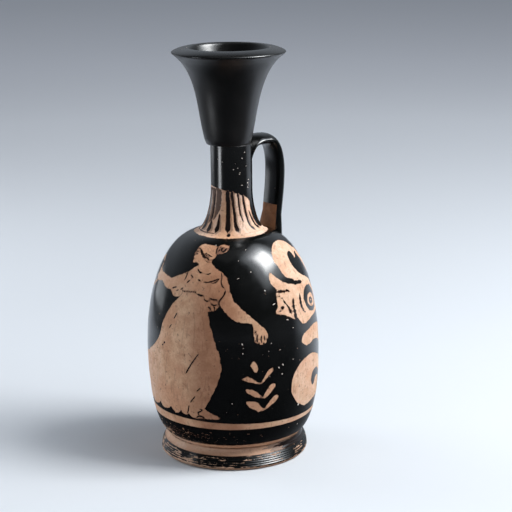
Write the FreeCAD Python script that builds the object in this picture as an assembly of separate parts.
import FreeCAD, Part
import math
import os

# A wheel-thrown oil flask of fired clay: grooved ring foot, ovoid body, slim neck,
# trumpet mouth with a heavy lip, and one strap handle from neck to shoulder.
# It is one fired piece, so it is one solid. The origin is the middle of the face
# that the foot stands on, +Z is up, and the handle is on the +Y side.

# Driving dimensions in millimetres, heights stacked from the foot up
FOOT_HEIGHT = 10.0          # standing face to the waist above the foot
BODY_HEIGHT = 95.6          # waist to the turn from shoulder into neck
NECK_HEIGHT = 40.4          # that turn to the step under the mouth
MOUTH_HEIGHT = 44.0         # that step to the top of the lip

# Foot
FOOT_RADIUS = 34.6
FOOT_EDGE_ROUND = 1.4       # roundness of the foot's lower outer edge
FOOT_DRUM_HEIGHT = 6.4      # top of the grooved drum
FOOT_DRUM_TAPER = 1.1       # how much narrower the drum is at its top
WAIST_RADIUS = 31.6
GROOVE_COUNT = 3
GROOVE_PITCH = 1.15
GROOVE_WIDTH = 0.7
GROOVE_DEPTH = 0.4
GROOVE_FIRST_HEIGHT = 3.1   # middle of the lowest groove
STANDING_RING_WIDTH = 6.0
UNDERSIDE_RECESS = 4.5

# Body
BELLY_RADIUS = 40.3
BELLY_HEIGHT = 40.2         # widest girth above the waist
HIP_FULLNESS = 18.0         # how long the wall stays upright under the girth
HEEL_LENGTH = 8.5           # how far the wall keeps its slope as it leaves the foot
HEEL_ANGLE = 37.0
CHEST_FULLNESS = 26.6       # how long the wall stays upright over the girth
SHOULDER_LENGTH = 16.5
SHOULDER_ANGLE = 13.0       # slope where shoulder turns into neck
NECK_ROOT_RADIUS = 16.5     # radius at that turn
WALL = 4.0
FLOOR_THICKNESS = 9.0
FLOOR_CORNER_WALL = 10.0    # waist to the corner of the inner floor, thick as thrown pots are there

# The hollow turns at these shares of the outer curves, one wall inside them
HOLLOW_HIP_PLACE = 0.4
HOLLOW_SHOULDER_PLACES = (0.55, 0.85)
HOLLOW_STRAIGHT_BELOW = 9.0 # widest girth down to where the hollow narrows
HOLLOW_STRAIGHT_ABOVE = 10.6

# Neck
NECK_RADIUS = 9.6
NECK_ROOT_LENGTH = 4.4
NECK_FLARE_HEIGHT = 20.3    # turn to where the neck runs straight
NECK_FLARE_FULLNESS = 8.3
BORE_RADIUS = 5.0
BORE_START = 5.1            # turn to where the hollow has narrowed to the bore

# Mouth, set slightly off the axis and away from the handle, as on the real piece
MOUTH_OFFSET = 1.2
MOUTH_BASE_RADIUS = 9.9
MOUTH_BASE_ROUND = 2.4      # height of the rounded shoulder above the step
MOUTH_BASE_SWELL = 1.0      # how much wider the mouth is above that shoulder
MOUTH_LOWER_ANGLE = 76.2
MOUTH_LOWER_LENGTH = 11.8
MOUTH_UPPER_ANGLE = 44.2
MOUTH_UPPER_LENGTH = 11.7
MOUTH_THROAT_RADIUS = 22.5  # outside radius right under the lip
MOUTH_WALL = 5.0            # wall right under the lip

# Lip
LIP_RADIUS = 26.0
LIP_HEIGHT = 4.7
LIP_OVERHANG_HEIGHT = 1.0   # rise of the lip's lower face from wall to edge
LIP_WIDEST = 2.1            # widest circle below the lip's top
LIP_CROWN_WIDTH = 2.6       # outer edge to where the top runs flat
LIP_SHOULDER_WIDTH = 0.8    # outer edge to the bend in that crown
LIP_SHOULDER_DROP = 0.3     # how far that bend lies below the lip's top
LIP_INNER_ROUND = 1.7

# Handle: its centreline lies in the Y-Z plane
HANDLE_STANDOFF = 16.6      # neck to strap centre where it stands off most
HANDLE_STANDOFF_DROP = 14.0 # that place below the step under the mouth
HANDLE_CREST_REACH = 9.0    # neck to strap centre at the crest
HANDLE_CREST_RISE = 1.0     # strap centre at the crest above the step
HANDLE_ROOT_DROP = 7.6      # where the strap starts inside the neck, below the step
HANDLE_FOOT_REACH = 6.2     # turn of the neck to strap centre where it lands on the shoulder
HANDLE_WIDTH = 12.0
HANDLE_THICKNESS = 4.2
STRAP_FLATS = 12
STRAP_SQUARENESS = 0.7      # 1 is a true ellipse, less is squarer
HANDLE_BURIED_WIDTH = 11.2  # at the start inside the neck
HANDLE_ROOT_WIDTH = 14.0
HANDLE_ROOT_PLACE = 0.4     # share of the climb where the root is widest
HANDLE_ROOT_THICKNESS = 5.6
HANDLE_FOOT_WIDTH = 15.0
HANDLE_FOOT_THICKNESS = 5.6
HANDLE_FLARE_PLACE = 0.7    # share of the last stretch where the foot starts to widen
HANDLE_SINK = 3.0           # how deep both ends are worked into the clay

# How full the strap's bends are, as shares of the stretch that each belongs to
ROOT_OUTWARD = 0.3          # leaving the neck, outwards
ROOT_UPWARD = 0.58          # leaving the neck, upwards
CREST_INNER = 0.4           # flat run of the crest on the neck's side
CREST_OUTER = 0.66          # flat run of the crest on the outer side
STANDOFF_ABOVE = 0.6        # upright run above the widest standoff
STANDOFF_BELOW = 0.31       # upright run below it
FOOT_RUN = 0.4              # straight run into the shoulder

turn_height = FOOT_HEIGHT + BODY_HEIGHT
step_height = turn_height + NECK_HEIGHT
top_height = step_height + MOUTH_HEIGHT
girth_height = FOOT_HEIGHT + BELLY_HEIGHT
Z_AXIS = FreeCAD.Vector(0, 0, 1)


def at(radius, height):
    """A profile point in the X-Z plane."""
    return FreeCAD.Vector(radius, 0, height)


def slope(degrees):
    """The unit direction in the X-Z plane that rises at this angle from outwards."""
    angle = math.radians(degrees)
    return FreeCAD.Vector(math.cos(angle), 0, math.sin(angle))


def line(start, end):
    return Part.LineSegment(start, end).toShape()


def bezier(start, lean_start, lean_end, end):
    """A cubic curve that leaves and arrives along its two inner points."""
    result = Part.BezierCurve()
    result.setPoles([start, lean_start, lean_end, end])
    return result


def bands(profile_curve, count=1):
    """The edges of a curve cut into this many pieces, so that each turned face stays simple."""
    return [profile_curve.toShape(number / count, (number + 1) / count) for number in range(count)]


def turned(edges, offset_y=0.0):
    """The solid that a closed profile makes when it turns about the axis at Y offset_y."""
    solid = Part.Face(Part.Wire(edges)).revolve(FreeCAD.Vector(0, 0, 0), Z_AXIS, 360)
    if solid.Volume < 0:
        solid.reverse()
    solid.translate(FreeCAD.Vector(0, offset_y, 0))
    return solid


def foot_outline():
    """From the middle of the underside out to the waist, with the turned grooves."""
    ring_outer = at(FOOT_RADIUS - FOOT_EDGE_ROUND, 0)
    ring_inner = at(ring_outer.x - STANDING_RING_WIDTH, 0)
    disc_edge = at(ring_inner.x - UNDERSIDE_RECESS * 0.5, UNDERSIDE_RECESS)
    disc_middle = at(0, UNDERSIDE_RECESS)
    lean = FOOT_EDGE_ROUND * (1 - math.sqrt(0.5))
    edge_top = at(FOOT_RADIUS, FOOT_EDGE_ROUND)

    def drum_radius(height):
        share = (height - FOOT_EDGE_ROUND) / (FOOT_DRUM_HEIGHT - FOOT_EDGE_ROUND)
        return FOOT_RADIUS - FOOT_DRUM_TAPER * share * share

    corners = [disc_middle, disc_edge, ring_inner, ring_outer]
    corners += [at(FOOT_RADIUS - lean, lean), edge_top]
    for number in range(GROOVE_COUNT):
        middle = GROOVE_FIRST_HEIGHT + number * GROOVE_PITCH
        low, high = middle - GROOVE_WIDTH / 2, middle + GROOVE_WIDTH / 2
        corners.append(at(drum_radius(low), low))
        corners.append(at(drum_radius(middle) - GROOVE_DEPTH, middle))
        corners.append(at(drum_radius(high), high))
    drum_top = at(drum_radius(FOOT_DRUM_HEIGHT), FOOT_DRUM_HEIGHT)
    corners.append(drum_top)
    edges = [line(start, end) for start, end in zip(corners, corners[1:])]
    waist = at(WAIST_RADIUS, FOOT_HEIGHT)
    sweep = (FOOT_HEIGHT - FOOT_DRUM_HEIGHT) / 2
    edges += bands(bezier(drum_top, drum_top + slope(125) * sweep, waist - slope(90) * sweep, waist))
    return edges, waist


def shoulder_curve():
    """From the widest girth up to the turn into the neck."""
    girth = at(BELLY_RADIUS, girth_height)
    turn = at(NECK_ROOT_RADIUS, turn_height)
    inward = slope(180 - SHOULDER_ANGLE)
    return bezier(girth, girth + slope(90) * CHEST_FULLNESS, turn - inward * SHOULDER_LENGTH, turn)


def hip_curve(waist):
    """From the waist above the foot up to the widest girth."""
    girth = at(BELLY_RADIUS, girth_height)
    return bezier(waist, waist + slope(HEEL_ANGLE) * HEEL_LENGTH, girth - slope(90) * HIP_FULLNESS, girth)


def neck_curve():
    """From the shoulder's turn, flaring in, to where the neck runs straight."""
    turn = at(NECK_ROOT_RADIUS, turn_height)
    neck_start = at(NECK_RADIUS, turn_height + NECK_FLARE_HEIGHT)
    leaving = slope(180 - SHOULDER_ANGLE) * NECK_ROOT_LENGTH
    return bezier(turn, turn + leaving, neck_start - slope(90) * NECK_FLARE_FULLNESS, neck_start)


def flask_body():
    """Foot, body and neck as one turned solid, its neck running on into the mouth."""
    edges, waist = foot_outline()
    edges += bands(hip_curve(waist), 4)
    edges += bands(shoulder_curve(), 4)
    edges += bands(neck_curve(), 2)
    inside_mouth = step_height + MOUTH_BASE_ROUND
    corners = [
        at(NECK_RADIUS, turn_height + NECK_FLARE_HEIGHT),
        at(NECK_RADIUS, inside_mouth),
        at(0, inside_mouth),
        at(0, UNDERSIDE_RECESS),
    ]
    edges += [line(start, end) for start, end in zip(corners, corners[1:])]
    return turned(edges)


def mouth_trumpet():
    """The mouth's outside with its stepped base and heavy lip, solid within."""
    base = at(MOUTH_BASE_RADIUS, step_height)
    swell_top = at(MOUTH_BASE_RADIUS + MOUTH_BASE_SWELL, step_height + MOUTH_BASE_ROUND)
    throat = at(MOUTH_THROAT_RADIUS, top_height - LIP_HEIGHT)
    lip_low = at(LIP_RADIUS - LIP_WIDEST / 2, top_height - LIP_HEIGHT + LIP_OVERHANG_HEIGHT)
    lip_edge = at(LIP_RADIUS, top_height - LIP_WIDEST)
    lip_bevel = at(LIP_RADIUS, top_height - LIP_WIDEST / 2)
    crown = at(LIP_RADIUS - LIP_CROWN_WIDTH, top_height)
    lip_turn = at(LIP_RADIUS - LIP_SHOULDER_WIDTH, top_height - LIP_SHOULDER_DROP)
    lower, upper = slope(MOUTH_LOWER_ANGLE), slope(MOUTH_UPPER_ANGLE)
    edges = [line(at(0, step_height), base), line(base, swell_top)]
    edges += bands(bezier(swell_top, swell_top + lower * MOUTH_LOWER_LENGTH,
                          throat - upper * MOUTH_UPPER_LENGTH, throat), 2)
    corners = [throat, lip_low, lip_edge, lip_bevel, lip_turn, crown, at(0, top_height), at(0, step_height)]
    edges += [line(start, end) for start, end in zip(corners, corners[1:])]
    return turned(edges, -MOUTH_OFFSET)


def inside_of(outside, place):
    """The point one wall inside an outer curve, square to it."""
    outward = outside.tangent(place)[0].cross(FreeCAD.Vector(0, 1, 0))
    return outside.value(place) - outward * math.copysign(WALL, outward.x)


def body_cavity():
    """The hollow of the body and the neck's bore, turned a wall's width inside the outline."""
    hip, shoulder = hip_curve(at(WAIST_RADIUS, FOOT_HEIGHT)), shoulder_curve()
    floor = UNDERSIDE_RECESS + FLOOR_THICKNESS
    widest = BELLY_RADIUS - WALL
    bore_top = step_height + MOUTH_BASE_ROUND * 2
    corners = [
        at(0, floor),
        at(WAIST_RADIUS - FLOOR_CORNER_WALL, floor),
        inside_of(hip, HOLLOW_HIP_PLACE),
        at(widest, girth_height - HOLLOW_STRAIGHT_BELOW),
        at(widest, girth_height + HOLLOW_STRAIGHT_ABOVE),
    ]
    corners += [inside_of(shoulder, place) for place in HOLLOW_SHOULDER_PLACES]
    corners += [
        at(BORE_RADIUS, turn_height + BORE_START),
        at(BORE_RADIUS, bore_top),
        at(0, bore_top),
    ]
    return turned([line(start, end) for start, end in zip(corners, corners[1:] + corners[:1])])


def mouth_funnel():
    """The mouth's inside, from the rounded inner edge of the lip down to the bore."""
    funnel_top = at(MOUTH_THROAT_RADIUS - MOUTH_WALL, top_height - LIP_INNER_ROUND)
    lip_inner = at(funnel_top.x + LIP_INNER_ROUND, top_height)
    funnel_end = at(BORE_RADIUS, step_height + MOUTH_BASE_ROUND)
    upper = slope((MOUTH_UPPER_ANGLE + 90) / 2)
    above = top_height + LIP_HEIGHT
    edges = bands(bezier(funnel_end, funnel_end + slope(MOUTH_LOWER_ANGLE) * MOUTH_LOWER_LENGTH,
                         funnel_top - upper * MOUTH_UPPER_LENGTH, funnel_top), 4)
    corners = [funnel_top, lip_inner, at(lip_inner.x, above), at(0, above), at(0, funnel_end.z), funnel_end]
    edges += [line(start, end) for start, end in zip(corners, corners[1:])]
    return turned(edges, -MOUTH_OFFSET)


def strap_section(middle, along, width, thickness):
    """A closed flattened oval of short flats across the strap: broad along X, thin across the path."""
    across = along.cross(FreeCAD.Vector(1, 0, 0))
    across.normalize()
    corners = []
    for number in range(STRAP_FLATS):
        angle = 2 * math.pi * (number + 0.5) / STRAP_FLATS
        side, face = math.cos(angle), math.sin(angle)
        broad = math.copysign(abs(side) ** STRAP_SQUARENESS, side) * width / 2
        thin = math.copysign(abs(face) ** STRAP_SQUARENESS, face) * thickness / 2
        corners.append(middle + FreeCAD.Vector(broad, 0, 0) + across * thin)
    return Part.makePolygon(corners + corners[:1])


def shoulder_height(radius):
    """How high the shoulder is at this radius."""
    shoulder = shoulder_curve()
    low, high = 0.0, 1.0
    for _ in range(40):
        middle = (low + high) / 2
        if shoulder.value(middle).x > radius:
            low = middle
        else:
            high = middle
    return shoulder.value(low).z


def strap_handle():
    """The strap handle, swept along its centreline from inside the neck to inside the shoulder."""
    foot_reach = NECK_ROOT_RADIUS + HANDLE_FOOT_REACH
    outward, down = FreeCAD.Vector(0, 1, 0), FreeCAD.Vector(0, 0, -1)
    root = outward * (NECK_RADIUS - HANDLE_SINK) - down * (step_height - HANDLE_ROOT_DROP)
    crest = outward * (NECK_RADIUS + HANDLE_CREST_REACH) - down * (step_height + HANDLE_CREST_RISE)
    standoff = outward * (NECK_RADIUS + HANDLE_STANDOFF) - down * (step_height - HANDLE_STANDOFF_DROP)
    foot = outward * foot_reach - down * (shoulder_height(foot_reach) - HANDLE_SINK)
    rising = outward * (crest.y - root.y) * ROOT_OUTWARD - down * (crest.z - root.z) * ROOT_UPWARD
    spans = [
        bezier(root, root + rising, crest - outward * (crest.y - root.y) * CREST_INNER, crest),
        bezier(crest, crest + outward * (standoff.y - crest.y) * CREST_OUTER,
               standoff - down * (crest.z - standoff.z) * STANDOFF_ABOVE, standoff),
        bezier(standoff, standoff + down * (standoff.z - foot.z) * STANDOFF_BELOW,
               foot - (foot - standoff) * FOOT_RUN, foot),
    ]
    stations = [
        (0, 0.0, HANDLE_BURIED_WIDTH, HANDLE_ROOT_THICKNESS),
        (0, HANDLE_ROOT_PLACE, HANDLE_ROOT_WIDTH, HANDLE_ROOT_THICKNESS),
        (1, 0.0, HANDLE_WIDTH, HANDLE_THICKNESS),
        (2, 0.0, HANDLE_WIDTH, HANDLE_THICKNESS),
        (2, HANDLE_FLARE_PLACE, HANDLE_WIDTH, HANDLE_THICKNESS),
        (2, 1.0, HANDLE_FOOT_WIDTH, HANDLE_FOOT_THICKNESS),
    ]
    sweep = Part.BRepOffsetAPI.MakePipeShell(Part.Wire([span.toShape() for span in spans]))
    sweep.setBiNormalMode(FreeCAD.Vector(1, 0, 0))
    for span, place, width, thickness in stations:
        along = spans[span].tangent(place)[0]
        sweep.add(strap_section(spans[span].value(place), along, width, thickness), False, False)
    sweep.build()
    sweep.makeSolid()
    return sweep.shape()


def vase():
    outside = flask_body().fuse(mouth_trumpet()).fuse(strap_handle())
    hollow = body_cavity().fuse(mouth_funnel())
    return outside.cut(hollow)


def main():
    os.makedirs("parts", exist_ok=True)
    shape = vase()
    solids = shape.Solids
    print("solids", len(solids), "valid", shape.isValid(), "volume_ml", round(shape.Volume / 1000, 1))
    box = shape.BoundBox
    print("size_mm", round(box.XLength, 2), round(box.YLength, 2), round(box.ZLength, 2))
    solids[0].exportStep("parts/vase.step")


main()
